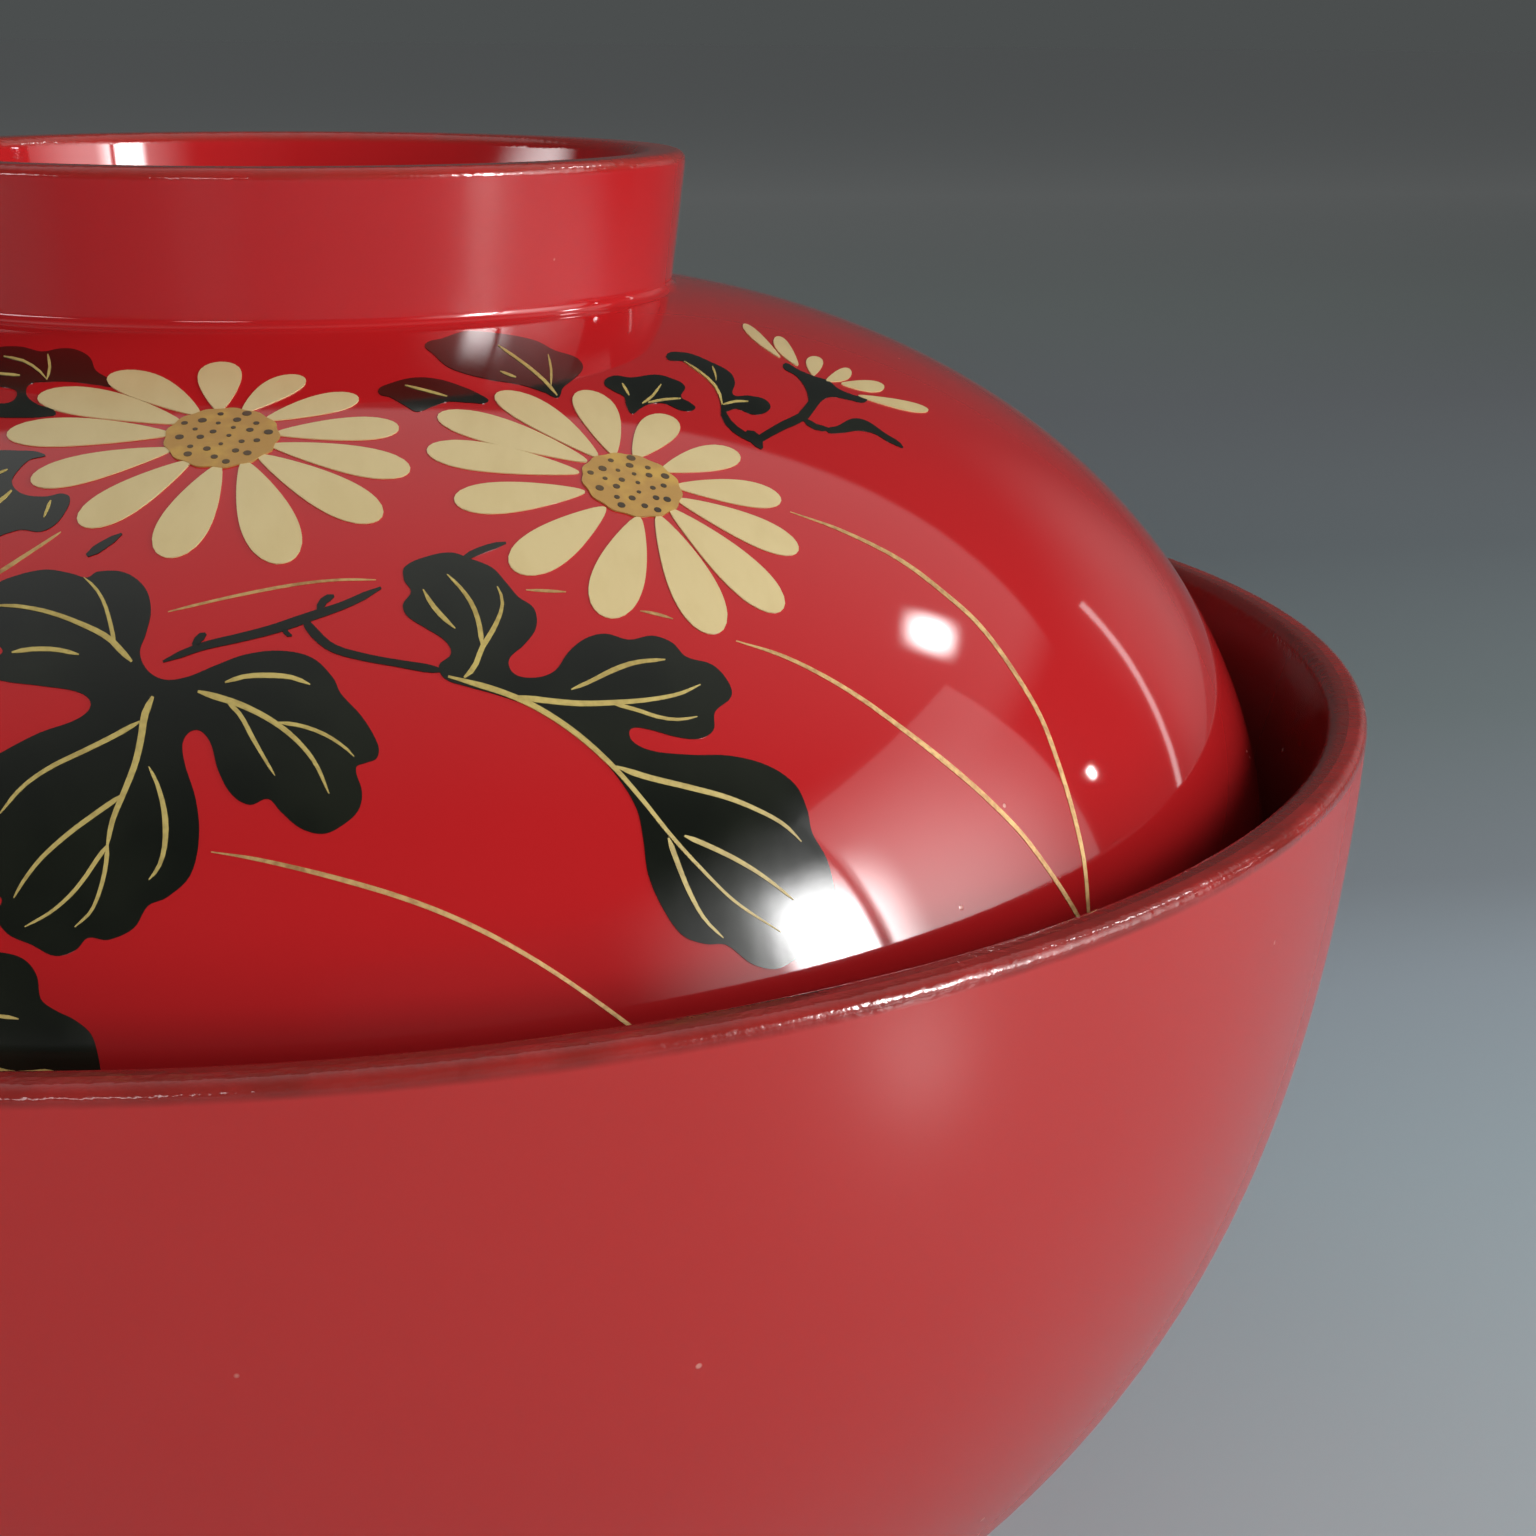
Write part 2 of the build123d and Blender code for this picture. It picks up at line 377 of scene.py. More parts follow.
def finishPiece(name, shape, material, body):
    mesh = bpy.data.meshes.new(name)
    bmesh.ops.scale(shape, vec=(mm, mm, mm), verts=shape.verts)
    for face in shape.faces:
        face.smooth = True
    shape.to_mesh(mesh)
    shape.free()
    mesh.set_sharp_from_angle(angle=radians(turning["sharpFrom"]))
    mesh.materials.append(material)
    piece = bpy.data.objects.new(name, mesh)
    bpy.context.scene.collection.objects.link(piece)
    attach(piece, body)
    return piece


def turnSkin(name, skin, material):
    shape = bmesh.new()
    drawSection(shape, skin["section"])
    spinSection(shape, turning["steps"])
    if skin.get("floorCut"):
        bmesh.ops.bisect_plane(shape, geom=shape.verts[:] + shape.edges[:] + shape.faces[:],
                               plane_co=(0, 0, 0), plane_no=(0, 0, 1), clear_inner=True)
    # an outer skin faces away from the axis, an inner one towards it
    lean = sum(face.normal.dot(face.calc_center_median() * Vector((1, 1, 0))) for face in shape.faces)
    if (lean < 0) != bool(skin.get("inside")):
        bmesh.ops.reverse_faces(shape, faces=shape.faces)
    bmesh.ops.solidify(shape, geom=shape.faces[:], thickness=turning["coat"])
    piece = finishPiece(name, shape, material, skin["body"])
    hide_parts(skin["replaces"])
    print("turned", name, len(piece.data.polygons), "faces")


# The painted spray: flat shapes laid on the dome, each a thin raised layer
layers = {              # mm above the dome
    "grass": 0.02,
    "leaf": 0.03,
    "twig": 0.035,
    "vein": 0.055,
    "petal": 0.05,
    "disc": 0.07,
    "dot": 0.09,
}
laying = {
    "sink": 0.06,       # mm into the coat
    "grid": 8.0,        # pixels between the cuts that let a leaf bend
    "fineGrid": 4.0,    # the same for leaves far up the dome
    "farAbove": 450,    # pixels, leaves reaching above this line are far
    "snap": 0.6,        # pixels
    "veins": 0.75,      # how much of its drawn width a vein keeps
}


def makeDomeTree():
    shape = bmesh.new()
    drawSection(shape, curve(*domeCurve, count=120))
    spinSection(shape, 360)
    tree = BVHTree.FromBMesh(shape)
    shape.free()
    return tree


domeTree = makeDomeTree()


def fromPixel(x, y):
    half = photo["size"] / 2
    ray = lensTurn @ Vector(((x - half) / photo["focal"], (half - y) / photo["focal"], -1))
    point, normal, _, _ = domeTree.ray_cast(eye / mm, ray.normalized())
    if normal.z < 0:
        normal.negate()
    return point, normal


def flowerPlane(middle):        # mm across a flower to the dome: x runs right, y up the slope
    centre, normal = fromPixel(*middle)
    across = Vector((0, 0, 1)).cross(normal).normalized()
    uphill = normal.cross(across)

    def place(x, y):
        point, side, _, _ = domeTree.find_nearest(centre + across * x + uphill * y)
        if side.z < 0:
            side.negate()
        return point, side
    return place


def layShape(group, flat, place, lift):
    for vert in flat.verts:
        point, normal = place(vert.co.x, vert.co.y)
        vert.co = point + normal * lift
    flat.normal_update()
    if sum(face.normal.z for face in flat.faces) < 0:
        bmesh.ops.reverse_faces(flat, faces=flat.faces)
    bmesh.ops.solidify(flat, geom=flat.faces[:], thickness=lift + laying["sink"])
    layer = bpy.data.meshes.new("layer")
    flat.to_mesh(layer)
    flat.free()
    group.from_mesh(layer)
    bpy.data.meshes.remove(layer)


def smoothLine(points, closed=False, count=5):
    knots = [Vector((*point[:2], 0)) for point in points]
    last = len(knots) - 1
    ways = []
    for index, knot in enumerate(knots):
        before = knots[index - 1] if index or closed else knot
        after = knots[(index + 1) % len(knots)] if index < last or closed else knot
        ways.append((after - before).normalized())
    line = []
    for index in range(len(knots) if closed else last):
        start, end = knots[index], knots[(index + 1) % len(knots)]
        pull = (end - start).length / 3
        span = interpolate_bezier(start, start + ways[index] * pull,
                                  end - ways[(index + 1) % len(knots)] * pull, end, count + 1)
        line += span[:-1]
    return line if closed else line + [knots[-1]]


def addLeaf(group, outline, lift, step):
    flat = bmesh.new()
    rim = [flat.verts.new(point) for point in smoothLine(outline, closed=True)]
    edges = [flat.edges.new(pair) for pair in zip(rim, rim[1:] + rim[:1])]
    bmesh.ops.contextual_create(flat, geom=edges)
    for axis in (0, 1):
        low = min(vert.co[axis] for vert in flat.verts)
        high = max(vert.co[axis] for vert in flat.verts)
        side = Vector((1 - axis, axis, 0))
        for index in range(1, int((high - low) / step) + 1):
            bmesh.ops.bisect_plane(flat, geom=flat.verts[:] + flat.edges[:] + flat.faces[:],
                                   dist=laying["snap"], plane_co=side * (low + index * step), plane_no=side)
    layShape(group, flat, fromPixel, lift)


def addStroke(group, points, widths, lift, step=9.0):
    # a brush line through the points: its width, in pixels, runs through the given widths
    line = smoothLine(points)
    lengths = [0.0]
    for start, end in zip(line, line[1:]):
        lengths.append(lengths[-1] + (end - start).length)
    count = max(4, int(lengths[-1] / step))

    def along(share):
        wanted = share * lengths[-1]
        index = max(i for i in range(len(line) - 1) if lengths[i] <= wanted)
        start, end = line[index], line[index + 1]
        done = (wanted - lengths[index]) / (lengths[index + 1] - lengths[index])
        return start.lerp(end, done), end - start

    flat = bmesh.new()
    bmesh.ops.create_grid(flat, x_segments=count, y_segments=4, size=1)
    for vert in flat.verts:
        share, side = (vert.co.x + 1) / 2, vert.co.y
        centre, way = along(min(share, 0.9999))
        spot = share * (len(widths) - 1)
        first = min(int(spot), len(widths) - 2)
        width = widths[first] + (widths[first + 1] - widths[first]) * (spot - first)
        width *= min(1, 0.35 + 8 * min(share, 1 - share))       # the brush lands and lifts
        across = Vector((-way.y, way.x, 0)).normalized()
        vert.co = centre + across * side * width / 2
    layShape(group, flat, fromPixel, lift)


def roundGrid(across, along):
    # a grid drawn in to a disc of radius 1
    flat = bmesh.new()
    bmesh.ops.create_grid(flat, x_segments=across, y_segments=along, size=1)
    for vert in flat.verts:
        x, y = vert.co.x, vert.co.y
        vert.co = (x * sqrt(1 - y * y / 2), y * sqrt(1 - x * x / 2), 0)
    return flat


def addPetal(group, root, tip, width, place, lift):
    flat = roundGrid(*flowerShape["petalSteps"])
    root, tip = Vector(root), Vector(tip)
    way = tip - root
    across = Vector((-way.y, way.x)).normalized()
    for vert in flat.verts:
        share = (vert.co.x + 1) / 2
        swell = (0.35 + 0.65 * share) / 0.74        # narrow at the root, full near the tip
        spot = root + way * share + across * vert.co.y * swell * width / 2
        vert.co.x, vert.co.y = spot
    layShape(group, flat, place, lift)


def addDisc(group, middle, radius, place, lift, steps, lobes=0):
    flat = roundGrid(steps, steps)
    for vert in flat.verts:
        reach = radius * (1 + (0.02 * cos(lobes * atan2(vert.co.y, vert.co.x)) if lobes else 0))
        vert.co.x = middle[0] + vert.co.x * reach
        vert.co.y = middle[1] + vert.co.y * reach
    layShape(group, flat, place, lift)


# open flowers: pixel of the middle; place and radius of the disc in mm; petals as angle at the root, angle at
# the tip and reach in mm
openFlowers = [
    {"middle": (222, 437), "disc": (0, 0, 2.42), "petals": [
        (98, 96, 7.6), (71, 64, 6.6), (39, 35, 6.8), (6, 9, 7.6), (-18, -16, 8.4), (-42, -40, 9.0),
        (-61, -70, 9.2), (-88, -101, 8.4), (-122, -131, 8.0), (-155, -160, 8.2), (173, 172, 9.4),
        (147, 150, 9.7), (121, 129, 8.6)]},
    {"middle": (628, 485), "disc": (0.2, 0, 2.25), "petals": [
        (80, 76, 8.1), (55, 46, 7.0), (19, 15, 7.0), (-11, -13, 7.4), (-35, -39, 8.1), (-58, -67, 9.2),
        (-80, -91, 9.2), (-104, -122, 8.7), (-144, -151, 8.4), (-177, -184, 8.1), (147, 150, 8.9),
        (120, 130, 9.3), (102, 105, 8.8)]},
]
flowerShape = {
    "root": 2.2,            # mm from the middle
    "slim": 0.25,           # width of a petal against its length
    "broad": 0.6,           # mm, and this much more
    "lobes": 13,            # waves round the disc's edge
    "dots": 25,
    "dotRadius": 0.16,      # mm
    "dotReach": 0.88,       # share of the disc's radius
    "discSteps": 24,
    "dotSteps": 6,
    "petalSteps": (14, 8),  # along and across
}
goldenAngle = pi * (3 - sqrt(5))

# the third flower is seen from its side: petals as root pixel, tip pixel and width in pixels
sideFlower = {
    "petals": [((780, 358), (743, 325), 9), ((798, 366), (775, 338), 13), ((813, 376), (815, 357), 17),
               ((826, 381), (851, 372), 12), ((841, 384), (884, 388), 11), ((858, 396), (928, 411), 9)],
    "calyx": [(783, 365), (800, 371), (815, 377), (828, 381), (838, 389), (852, 395), (867, 401),
              (848, 400), (832, 397), (822, 401), (814, 411), (805, 421), (801, 417), (808, 404),
              (806, 390), (797, 377)],
}

# leaf outlines and, for each, its gold veins as points with widths, all in photo pixels
leaves = [
    {"outline": [(10, 578), (45, 570), (72, 574), (87, 578), (98, 572), (125, 573), (145, 588), (151, 610),
                 (146, 634), (140, 653), (148, 671), (165, 680), (188, 677), (215, 666), (245, 655),
                 (280, 651), (312, 658), (333, 678), (341, 694), (362, 717), (378, 745), (377, 758),
                 (366, 763), (356, 768), (362, 792), (358, 811), (340, 827), (322, 834), (300, 828),
                 (280, 811), (268, 799), (250, 805), (232, 795), (218, 770), (210, 742), (197, 730),
                 (184, 739), (184, 760), (196, 800), (199, 838), (190, 876), (166, 898), (148, 906),
                 (134, 928), (108, 940), (88, 938), (76, 950), (55, 956), (32, 945), (8, 934), (-4, 915),
                 (2, 899), (-16, 886), (-22, 868), (-17, 848), (-30, 825), (-38, 798), (-24, 770), (5, 751),
                 (40, 733), (78, 719), (91, 705), (80, 693), (40, 686), (2, 681), (-18, 672), (-12, 660),
                 (3, 651), (-16, 640), (-32, 620), (-26, 600), (-8, 587)],
     "veins": [([(132, 662), (122, 652), (108, 638), (80, 624), (50, 613), (20, 607),
                 (-4, 606)], (9, 6, 4)),
               ([(115, 646), (112, 630), (105, 605), (96, 589), (84, 578)], (6, 5, 3)),
               ([(79, 655), (55, 650), (30, 650), (12, 653)], (5, 6, 5)),
               ([(198, 692), (215, 697), (240, 705), (270, 720), (295, 739), (315, 763),
                 (329, 794)], (9, 7, 4)),
               ([(278, 723), (300, 726), (325, 735), (345, 748), (354, 757)], (5, 5, 3)),
               ([(226, 701), (240, 715), (252, 737), (264, 758), (275, 776)], (6, 6, 3)),
               ([(225, 683), (245, 677), (270, 676), (292, 678), (310, 685)], (5, 7, 5)),
               ([(153, 697), (145, 715), (141, 740), (135, 765), (124, 793), (113, 820),
                 (107, 848)], (10, 8, 6)),
               ([(108, 845), (97, 860), (85, 878), (70, 896), (50, 913), (25, 927)], (6, 5, 3)),
               ([(108, 845), (106, 866), (101, 888), (91, 912), (75, 927)], (6, 5, 3)),
               ([(140, 722), (115, 736), (85, 751), (50, 768), (22, 788), (0, 814)], (7, 6, 4)),
               ([(123, 795), (100, 811), (70, 833), (42, 858), (24, 881), (14, 898)], (7, 6, 4)),
               ([(149, 767), (158, 786), (165, 815), (165, 845), (159, 867), (149, 880)], (4, 8, 4))]},
    {"outline": [(-45, 962), (-20, 953), (5, 953), (25, 960), (37, 976), (41, 999), (55, 1010), (75, 1020),
                 (91, 1034), (98, 1055), (101, 1080), (95, 1105), (75, 1122), (45, 1130), (10, 1124),
                 (-25, 1108), (-50, 1078), (-60, 1030), (-58, 990)],
     "veins": [([(19, 1019), (8, 1017), (-10, 1015), (-30, 1010)], (5, 5, 4)),
               ([(-30, 1060), (10, 1072), (30, 1072), (50, 1071), (72, 1080)], (4, 5, 4))]},
    {"outline": [(405, 567), (430, 556), (452, 553), (470, 559), (492, 568), (507, 584), (518, 597),
                 (534, 609), (536, 628), (524, 645), (509, 660), (514, 674), (535, 678), (555, 671),
                 (568, 653), (585, 639), (605, 634), (629, 640), (652, 636), (672, 643), (686, 657),
                 (712, 665), (728, 682), (731, 697), (715, 712), (713, 731), (698, 739), (676, 737),
                 (650, 730), (631, 729), (632, 741), (652, 751), (690, 755), (730, 756), (768, 766),
                 (795, 785), (807, 810), (812, 833), (826, 858), (833, 882), (837, 910), (829, 934),
                 (810, 951), (795, 960), (776, 969), (752, 964), (726, 945), (705, 944), (682, 935),
                 (662, 907), (648, 874), (643, 838), (637, 810), (621, 782), (600, 757), (570, 731),
                 (535, 709), (500, 696), (468, 687), (445, 679), (439, 666), (451, 654), (445, 641),
                 (425, 628), (407, 616), (403, 605), (411, 592), (404, 580)],
     "veins": [([(448, 677), (470, 683), (500, 692), (535, 707), (575, 733), (612, 766), (642, 800),
                 (670, 835), (700, 868), (735, 902), (780, 932)], (8, 7, 5, 3)),
               ([(516, 697), (545, 701), (580, 704), (615, 703), (650, 700), (680, 694),
                 (700, 685)], (8, 7, 4)),
               ([(612, 704), (635, 710), (660, 718), (680, 720), (697, 717)], (5, 5, 3)),
               ([(571, 690), (590, 682), (612, 671), (635, 663), (665, 660)], (4, 7, 4)),
               ([(464, 678), (474, 668), (482, 648), (492, 632), (501, 612), (502, 599),
                 (497, 587)], (7, 7, 3)),
               ([(482, 646), (479, 625), (472, 605), (460, 588), (447, 575)], (7, 6, 3)),
               ([(423, 590), (431, 604), (442, 617), (455, 629)], (4, 7, 4)),
               ([(616, 767), (645, 777), (690, 788), (730, 799), (765, 814), (785, 826),
                 (801, 842)], (8, 7, 4)),
               ([(684, 836), (710, 847), (740, 862), (768, 880), (793, 900)], (7, 6, 3)),
               ([(668, 838), (676, 860), (688, 890), (704, 919), (723, 938)], (7, 6, 3))]},
    {"outline": [(425, 345), (442, 339), (465, 332), (500, 334), (535, 341), (555, 351), (576, 358),
                 (583, 368), (574, 379), (563, 388), (558, 398), (545, 393), (520, 385), (490, 380),
                 (462, 373), (446, 366), (433, 354)],
     "veins": [([(557, 396), (545, 382), (525, 365), (498, 346)], (4, 4, 3)),
               ([(551, 386), (551, 370), (548, 355)], (3, 3)),
               ([(500, 372), (508, 375), (516, 378)], (3, 3))]},
    {"outline": [(378, 392), (390, 384), (415, 378), (440, 380), (462, 387), (480, 395), (488, 402),
                 (470, 403), (448, 402), (432, 407), (417, 412), (405, 406), (391, 398)],
     "veins": [([(405, 386), (425, 391), (447, 397)], (3, 3))]},
    {"outline": [(604, 383), (614, 376), (630, 378), (655, 375), (672, 379), (685, 387), (681, 397),
                 (690, 403), (695, 409), (682, 411), (665, 404), (650, 404), (640, 409), (632, 414),
                 (626, 405), (624, 397), (613, 391)],
     "veins": [([(622, 384), (625, 389), (629, 396)], (3, 3)), ([(642, 404), (652, 397),
                 (661, 385)], (3, 3)),
               ([(648, 403), (665, 400), (681, 399)], (3, 2))]},
    {"outline": [(-30, 360), (-8, 349), (20, 347), (42, 352), (60, 349), (76, 350), (90, 358), (96, 371),
                 (113, 385), (98, 385), (72, 382), (48, 382), (29, 385), (27, 396), (38, 405), (56, 413),
                 (44, 417), (20, 418), (-5, 417), (-30, 410), (-26, 402), (-5, 404), (12, 402), (17, 393),
                 (8, 388), (-16, 386), (-35, 377)],
     "veins": [([(47, 380), (40, 372), (25, 362), (4, 357)], (3, 3)), ([(47, 380), (50, 368),
                 (48, 355)], (3, 4)),
               ([(-4, 374), (8, 375), (20, 376)], (3, 3))]},
    {"outline": [(-35, 462), (-10, 452), (15, 451), (45, 455), (30, 460), (18, 471), (12, 483), (22, 494),
                 (45, 497), (62, 494), (70, 498), (66, 511), (55, 525), (40, 532), (22, 530), (6, 534),
                 (-12, 540), (-35, 530), (-45, 500)],
     "veins": [([(12, 491), (0, 502), (-20, 514)], (5, 4)), ([(51, 501), (44, 518)], (4, 3)),
               ([(8, 470), (-2, 474), (-16, 478)], (3, 3))]},
    {"outline": [(666, 357), (685, 353), (712, 363), (730, 373), (735, 383), (733, 395), (748, 396),
                 (765, 400), (770, 409), (755, 415), (736, 409), (724, 411), (719, 398), (714, 386),
                 (702, 372), (685, 362)],
     "veins": [([(722, 405), (718, 391), (708, 379), (695, 369), (684, 362)], (4, 3, 2)),
               ([(712, 367), (715, 374), (716, 381)], (3, 2)), ([(723, 405), (735, 402),
                 (748, 402)], (3, 2))]},
    {"outline": [(826, 431), (838, 426), (852, 419), (866, 421), (884, 433), (903, 447), (890, 443),
                 (874, 434), (858, 431), (842, 433)],
     "veins": []},
]

# black brush lines, then the gold grass, in photo pixels
twigs = [
    ([(163, 662), (185, 653), (205, 646), (240, 638), (275, 629), (310, 617), (345, 605),
      (381, 588)], (6, 8, 9, 10, 8, 7)),
    ([(303, 619), (315, 634), (332, 648), (362, 657), (400, 664), (442, 671)], (11, 8, 7, 9)),
    ([(194, 650), (198, 640), (206, 634)], (7, 8)),
    ([(318, 612), (324, 601), (334, 596)], (8, 7)),
    ([(283, 626), (287, 634), (292, 636)], (6, 4)),
    ([(87, 556), (101, 547), (122, 534)], (9, 8, 5)),
    ([(462, 559), (485, 549), (506, 543)], (7, 7, 5)),
    ([(810, 402), (803, 416), (785, 425), (770, 433), (757, 440), (745, 436), (733, 428), (725, 418),
      (722, 406)], (9, 9, 8, 7, 7, 6)),
    ([(746, 432), (755, 439), (762, 449)], (9, 11, 7)),
    ([(803, 419), (815, 427), (830, 430)], (6, 5)),
]
grassBlades = [
    ([(211, 852), (250, 858), (300, 869), (350, 882), (400, 897), (450, 916), (500, 940), (560, 976),
      (633, 1028), (680, 1066)], (3, 5, 5, 4, 4)),
    ([(736, 641), (780, 655), (820, 674), (860, 698), (900, 727), (940, 758), (980, 792), (1020, 832),
      (1050, 872), (1076, 913), (1098, 956)], (3, 4, 5, 4, 4)),
    ([(790, 512), (840, 530), (900, 560), (950, 598), (980, 626), (1010, 666), (1040, 716), (1060, 769),
      (1075, 820), (1084, 862), (1088, 906), (1090, 945)], (2, 4, 4, 4, 3)),
    ([(168, 612), (205, 603), (250, 593), (300, 584), (340, 580), (376, 580)], (2, 3, 2)),
    ([(-45, 598), (0, 572), (20, 559), (40, 546), (61, 532)], (3, 4, 2)),
    ([(526, 590), (545, 591), (566, 592)], (2, 3, 2)),
    ([(640, 611), (656, 614), (673, 619)], (2, 3, 2)),
]


def paintSpray(paints):
    petals, discs, dots = bmesh.new(), bmesh.new(), bmesh.new()
    for flower in openFlowers:
        place = flowerPlane(flower["middle"])
        for rootAngle, tipAngle, reach in flower["petals"]:
            root = heading(rootAngle).xz * flowerShape["root"]
            tip = heading(tipAngle).xz * reach
            width = (tip - root).length * flowerShape["slim"] + flowerShape["broad"]
            addPetal(petals, root, tip, width, place, layers["petal"])
        x, y, radius = flower["disc"]
        addDisc(discs, (x, y), radius, place, layers["disc"], flowerShape["discSteps"], flowerShape["lobes"])
        for index in range(flowerShape["dots"]):
            share = sqrt((index + 0.5) / flowerShape["dots"])
            reach = radius * flowerShape["dotReach"] * share
            turn = index * goldenAngle + 0.08 * sin(index * 2.7)
            swell = 0.6 + 0.5 * share + 0.2 * sin(index * 1.9)      # larger at the edge
            size = flowerShape["dotRadius"] * swell
            middle = (x + reach * cos(turn), y + reach * sin(turn))
            addDisc(dots, middle, size, place, layers["dot"], flowerShape["dotSteps"])
    for root, tip, width in sideFlower["petals"]:
        addPetal(petals, root, tip, width, fromPixel, layers["petal"])
    blacks, veins = bmesh.new(), bmesh.new()
    addLeaf(blacks, sideFlower["calyx"], layers["leaf"], laying["fineGrid"])
    for leaf in leaves:
        far = min(y for _, y in leaf["outline"]) < laying["farAbove"]
        addLeaf(blacks, leaf["outline"], layers["leaf"], laying["fineGrid" if far else "grid"])
        for points, widths in leaf["veins"]:
            addStroke(veins, points, [width * laying["veins"] for width in widths], layers["vein"])
    branches, grass = bmesh.new(), bmesh.new()
    for points, widths in twigs:
        addStroke(branches, points, widths, layers["twig"])
    for points, widths in grassBlades:
        addStroke(grass, points, widths, layers["grass"])
    finishPiece("paintedPetals", petals, paints["petal"], "lid")
    finishPiece("paintedDiscs", discs, paints["disc"], "lid")
    finishPiece("discDots", dots, paints["dot"], "lid")
    finishPiece("paintedLeaves", blacks, paints["leaf"], "lid")
    finishPiece("paintedTwigs", branches, paints["leaf"], "lid")
    finishPiece("leafVeins", veins, paints["vein"], "lid")
    finishPiece("grassBlades", grass, paints["grass"], "lid")
    print("painted the spray")


# Floor, lamps and world
floorLook = {
    "radius": 40.0,         # metres
    "rough": 0.5,
    "gloss": 0.1,           # the rest of the gloss is a sheen of its own, below
    "near": -0.1,           # metres along Y where the colours below start, and where they end
    "far": 1.4,
    # painted light and shade: the floor is lighter near the bowl, darker in a band behind it and pale far
    # off, standing in for how the room's light falls
    "colours": [(0.06, (0.47, 0.56, 0.59)), (0.09, (0.41, 0.5, 0.54)), (0.119, (0.35, 0.41, 0.455)),
                (0.14, (0.265, 0.302, 0.33)), (0.19, (0.21, 0.252, 0.26)), (0.27, (0.195, 0.225, 0.24)),
                (0.395, (0.27, 0.292, 0.31)), (0.567, (0.4, 0.45, 0.44)), (1.0, (0.73, 0.76, 0.74))],
}
worldLook = {"light": (0.098, 0.1, 0.104), "seen": (0.0704, 0.0762, 0.0762)}
lookAt = Vector((0.02, -0.03, 0.07))        # metres, the middle of what the photo shows


def addFloor():
    material, shader, place = startMaterial("paleFloor")
    # painted light and shade: the floor's colour grades with depth
    depth = place.part("Y") + (place.noise(3.0, 2.0) - 0.5) * 0.06
    values = {"Value": depth, "From Min": floorLook["near"], "From Max": floorLook["far"]}
    share = depth.node("MapRange", {}, values)
    share.node("ValToRGB", {"stops": floorLook["colours"]}, {0: share}).feed(shader, "Base Color")
    shader.inputs["Roughness"].default_value = floorLook["rough"]
    shader.inputs["Specular IOR Level"].default_value = floorLook["gloss"]
    shape = bmesh.new()
    bmesh.ops.create_circle(shape, cap_ends=True, segments=64, radius=floorLook["radius"])
    mesh = bpy.data.meshes.new("floor")
    shape.to_mesh(mesh)
    shape.free()
    mesh.materials.append(material)
    floor = bpy.data.objects.new("floor", mesh)
    bpy.context.scene.collection.objects.link(floor)


# lamps that the gloss alone shows: compass angle from +Y towards +X, height and spans in degrees, and how
# bright the lit face is; how wide its sides fade, as shares of the span from left, right, bottom and top in
# the picture; and where a dark bar parts it, as a share from the left
evenFade = (0.5, 0.5, 0.5, 0.5)
glossLamps = {
    "windowCore": {"angle": 121.5, "rise": 17.5, "span": (20, 25), "bright": 50.0,
                   "fade": (0.25, 0.7, 0.05, 0.5), "bar": 0.65, "barWidth": 0.055},
    "windowGlow": {"angle": 116.0, "rise": 15.0, "span": (66, 50), "bright": 5.2,
                   "fade": evenFade, "bar": 0.462, "barWidth": 0.016},
    "windowPane": {"angle": 101.5, "rise": 18.0, "span": (33, 37), "bright": 0.9},
    "smallLamp": {"angle": 73.5, "rise": 38.0, "span": (8.5, 7.5), "bright": 40.0,
                  "fade": (0.48, 0.48, 0.48, 0.48)},
    "thinStrip": {"angle": 61.0, "rise": 9.7, "span": (1.3, 21), "roll": -27.0, "bright": 2.4},
    "tinyLamp": {"angle": 79.3, "rise": 13.3, "span": (1.2, 1.5), "bright": 40.0},
    "rightRoom": {"angle": 50.0, "rise": 8.0, "span": (36, 36), "bright": 0.22, "fade": (0.4, 0.4, 0.4, 0.4)},
    "leftWindow": {"angle": 270.0, "rise": 10.0, "span": (60, 9), "bright": 9.0,
                   "fade": (0.3, 0.3, 0.3, 0.3)},
    "frontWindow": {"angle": 203.0, "rise": 11.0, "span": (24, 9), "bright": 8.0,
                    "fade": (0.3, 0.3, 0.3, 0.3)},
}
# level panels that the gloss alone shows: middle and size in metres, fading from -X, +X, -Y and +Y; those on
# the floor face up
glossPanels = {
    "ceilingPanel": {"middle": (0.3, 0.005, 0.7), "size": (2.2, 1.11), "bright": 0.6,
                     "fade": (0.2, 0.15, 0.8, 0.02)},
    "ceilingEdge": {"middle": (0.3, 0.28, 0.7), "size": (2.2, 0.56), "bright": 1.2,
                    "fade": (0.2, 0.15, 0.7, 0.02)},
    "floorSheen": {"middle": (0.235, -0.215, 0.001), "size": (0.12, 0.12), "bright": 4.0,
                   "fade": (0.5, 0.3, 0.5, 0.5), "facesUp": True},
    "floorGlint": {"middle": (0.118, -0.112, 0.001), "size": (0.04, 0.04), "bright": 7.0,
                   "fade": evenFade, "facesUp": True},
}
# lamps that only light the colours, with their distance in metres
plainLamps = {
    "windowLight": {"angle": 91.0, "rise": 25.0, "span": (26, 20), "away": 0.6, "bright": 10.6},
    "frontFill": {"angle": 158.0, "rise": 16.0, "span": (44, 30), "away": 1.1, "bright": 4.1},
    "topFill": {"angle": 215.0, "rise": 55.0, "span": (40, 40), "away": 1.1, "bright": 1.0},
}
glossAway = 2.0     # metres


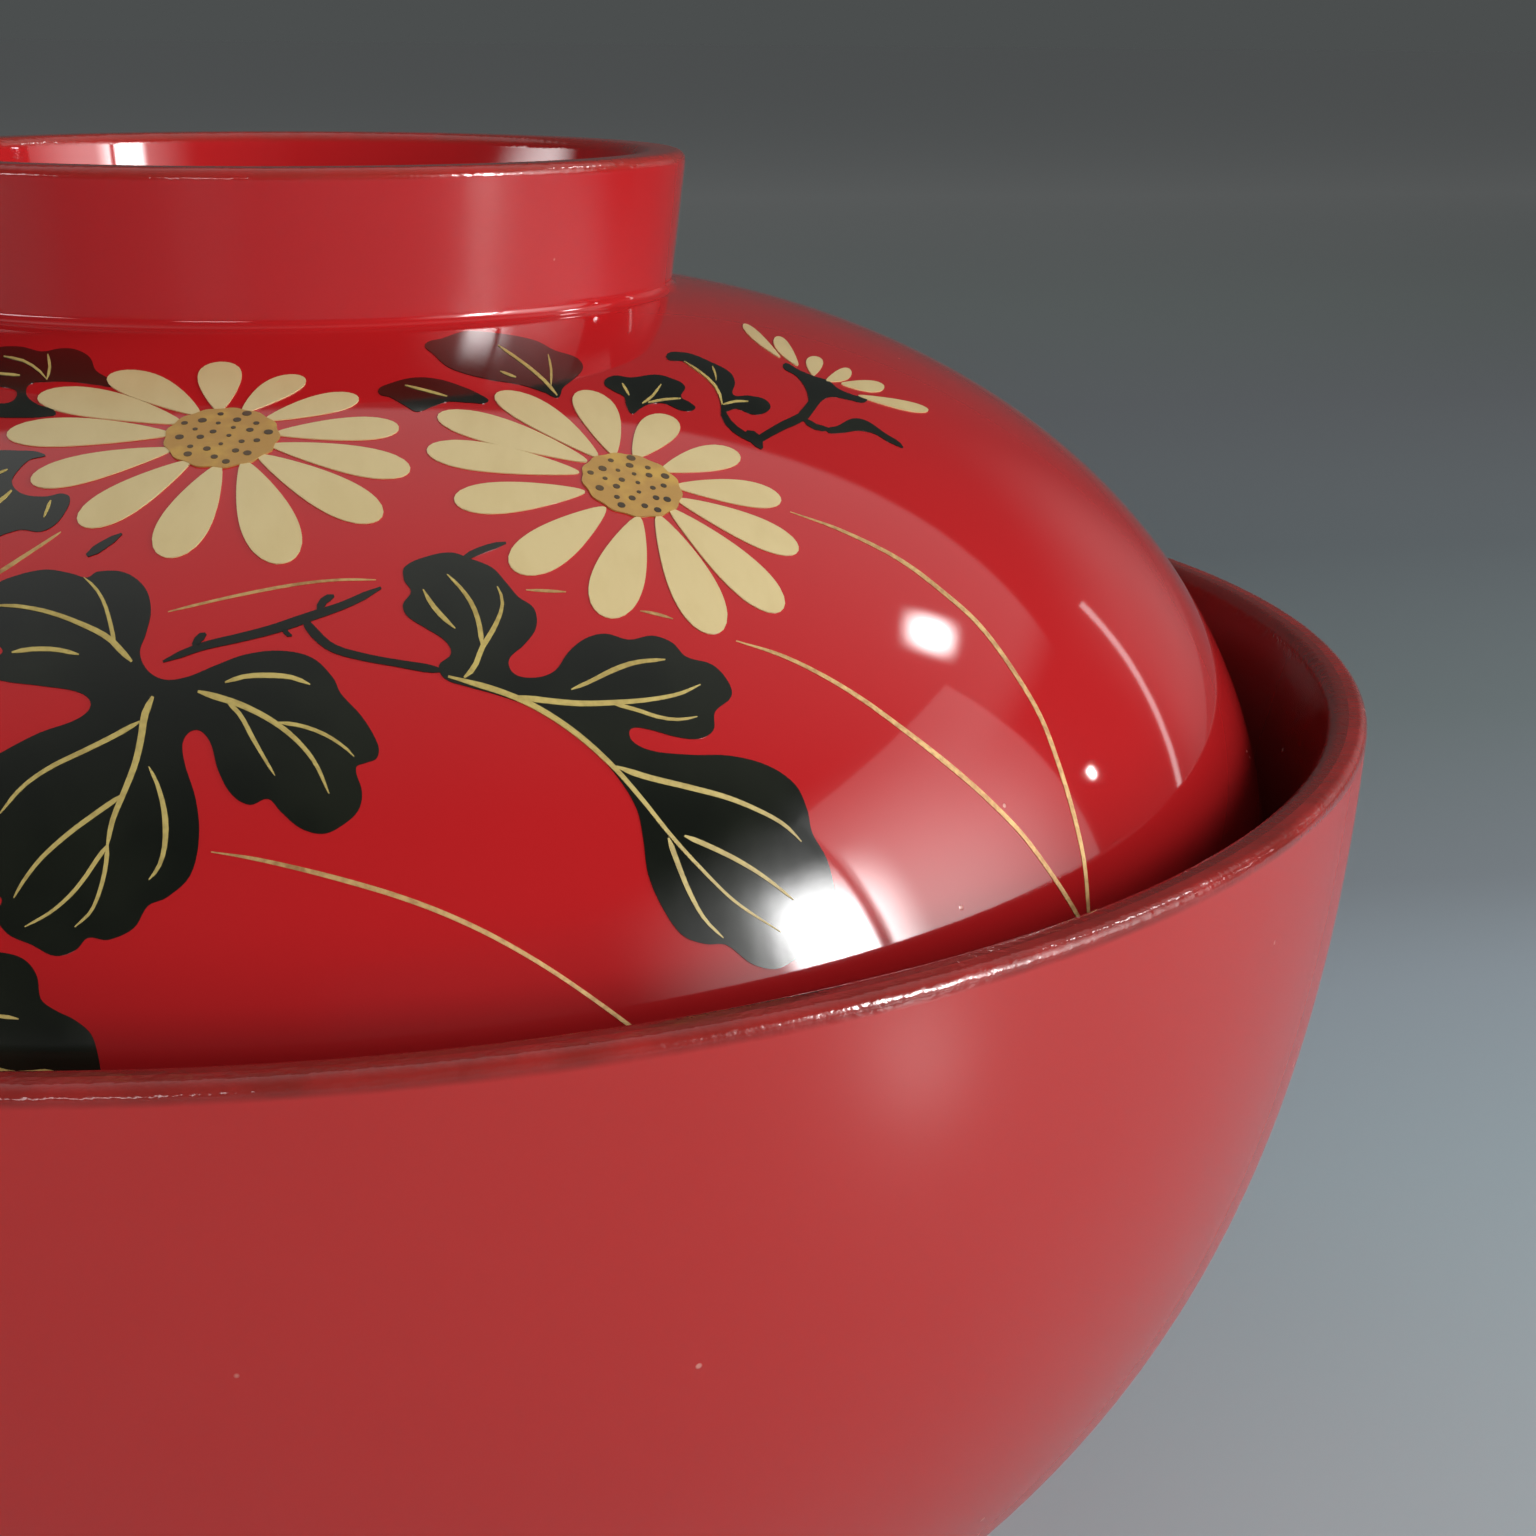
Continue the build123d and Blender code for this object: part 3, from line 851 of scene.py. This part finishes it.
def addLamp(name, lamp, place, size, turn):
    light = bpy.data.lights.new(name, "AREA")
    light.shape = "RECTANGLE"
    light.size, light.size_y = size
    light.energy = lamp["bright"] * pi * size[0] * size[1]
    if "fade" in lamp:
        light.use_nodes = True
        glow = light.node_tree.nodes["Emission"]
        spot = Tone(glow.outputs[0]).node("NewGeometry", output="Parametric")
        across, up = spot.part("X"), spot.part("Y")
        left, right, bottom, top = lamp["fade"]
        strength = across.mask(0, left) * (1 - across).mask(0, right)
        strength = strength * up.mask(0, bottom) * (1 - up).mask(0, top)
        if "bar" in lamp:
            side = across - lamp["bar"]
            strength = strength * side.maths("ABSOLUTE", side).mask(lamp["barWidth"] * 0.6, lamp["barWidth"])
        strength.feed(glow, "Strength")
    holder = bpy.data.objects.new(name, light)
    holder.matrix_world = Matrix.Translation(place) @ turn.to_4x4()
    holder.visible_camera = False
    holder.visible_glossy = name not in plainLamps
    holder.visible_diffuse = name in plainLamps
    bpy.context.scene.collection.objects.link(holder)


def lightStage():
    for name, lamp in {**glossLamps, **plainLamps}.items():
        compass, rise = radians(lamp["angle"]), radians(lamp["rise"])
        way = Vector((sin(compass) * cos(rise), cos(compass) * cos(rise), sin(rise)))
        away = lamp.get("away", glossAway)
        size = [2 * away * tan(radians(span) / 2) for span in lamp["span"]]
        turn = way.to_track_quat("Z", "Y").to_matrix() @ Matrix.Rotation(radians(lamp.get("roll", 0)), 3, "Z")
        addLamp(name, lamp, lookAt + way * away, size, turn)
    for name, panel in glossPanels.items():
        turn = Matrix.Rotation(pi if "facesUp" in panel else 0, 3, "X")
        addLamp(name, panel, Vector(panel["middle"]), panel["size"], turn)
    world = bpy.data.worlds.new("studio")
    world.use_nodes = True
    bpy.context.scene.world = world
    backdrop = world.node_tree.nodes["Background"]
    path = Tone(backdrop.outputs[0]).node("LightPath", output="Is Camera Ray")
    seen = path + path.also("Is Glossy Ray")
    seen.blend((*worldLook["light"], 1), (*worldLook["seen"], 1)).feed(backdrop, "Color")


addCamera()
addFloor()
lightStage()
print("stage, lamps and camera are in place")

finishes = {
    "lid": redLacquer("lidRed", lidRed),
    "wall": redLacquer("wallRed", wallRed),
    "inside": redLacquer("shadedInsideRed", shadedInsideRed),
    "under": redLacquer("underRed", underRed),
}
for skinName, skin in skins.items():
    turnSkin(skinName, skin, finishes[skin["finish"]])
wood = turnedWood()
for core in ("bowl_core", "lid_core"):
    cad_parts[core].data.materials.clear()
    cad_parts[core].data.materials.append(wood)
paintSpray({
    "petal": petalPaint(),
    "disc": discPaint(),
    "leaf": darkPaint("leafBlack", leafBlack),
    "dot": darkPaint("dotBrown", dotBrown),
    "vein": goldPaint("veinGold", lineGold, 0.0),
    "grass": goldPaint("grassGold", grassGold, 0.3),
})
bpy.context.scene.view_settings.view_transform = "Standard"

bpy.context.view_layer.update()
